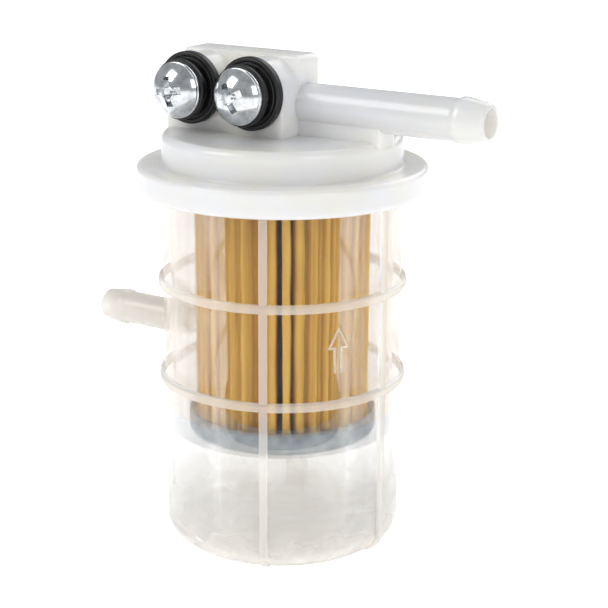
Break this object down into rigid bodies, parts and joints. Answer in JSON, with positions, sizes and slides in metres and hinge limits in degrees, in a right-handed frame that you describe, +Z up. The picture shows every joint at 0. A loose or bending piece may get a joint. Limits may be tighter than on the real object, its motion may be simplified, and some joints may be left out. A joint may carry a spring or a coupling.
{
  "type": "fuel filter",
  "caption": "In-line fuel filter with a clear bowl, pleated paper element, translucent head, opposed hose barbs and rubber-bushed mounting screws.",
  "frame": {"origin": "centre of the bowl's base, on the axis that the bowl and the head share, at the bottom face", "axes": "+Z up along the bowl's axis towards the head, +X along the outlet pipe, the inlet pipe points along -X and the screws' heads face -Y"},
  "size_m": [0.1024, 0.065, 0.1121],
  "materials": {
    "clear_nylon": "clear moulded nylon, glossy",
    "milky_nylon": "translucent natural nylon, glossy",
    "filter_paper": "resin-cured pleated filter paper",
    "plated_sheet": "dull zinc-plated pressed sheet",
    "adhesive": "cast sealing compound",
    "fuel_rubber": "moulded black rubber, slight sheen",
    "brass": "turned brass",
    "bright_zinc": "bright zinc-plated steel"
  },
  "bodies": {
    "filter": {"bowl": "clear_nylon", "head_cover": "milky_nylon", "pleated_paper": "filter_paper", "lower_end_cap": "plated_sheet", "upper_end_cap": "plated_sheet", "lower_potting": "adhesive", "upper_potting": "adhesive", "centre_tube": "plated_sheet", "spigot_seal": "fuel_rubber", "left_insert": "brass", "right_insert": "brass", "left_bush": "fuel_rubber", "right_bush": "fuel_rubber", "left_sleeve": "bright_zinc", "right_sleeve": "bright_zinc"},
    "left_washer": {"left_washer": "bright_zinc"},
    "left_screw": {"left_screw": "bright_zinc"},
    "right_washer": {"right_washer": "bright_zinc"},
    "right_screw": {"right_screw": "bright_zinc"}
  },
  "joints": [
    {"name": "left_screw_travel", "type": "slide", "parent": "filter", "child": "left_washer", "axis": [0, -1, 0], "range_m": [0, 0.005]},
    {"name": "left_screw_turn", "type": "hinge", "parent": "left_washer", "child": "left_screw", "pos_m": [-0.0172, -0.0162, 0.1041], "axis": [0, -1, 0], "range_deg": [0, 1800]},
    {"name": "right_screw_travel", "type": "slide", "parent": "filter", "child": "right_washer", "axis": [0, -1, 0], "range_m": [0, 0.005]},
    {"name": "right_screw_turn", "type": "hinge", "parent": "right_washer", "child": "right_screw", "pos_m": [-0.001, -0.0162, 0.1041], "axis": [0, -1, 0], "range_deg": [0, 1800]}
  ],
  "couplings": [
    {"joint": "left_screw_turn", "follows": "left_screw_travel", "rad_per_m": 6283.2},
    {"joint": "right_screw_turn", "follows": "right_screw_travel", "rad_per_m": 6283.2}
  ]
}
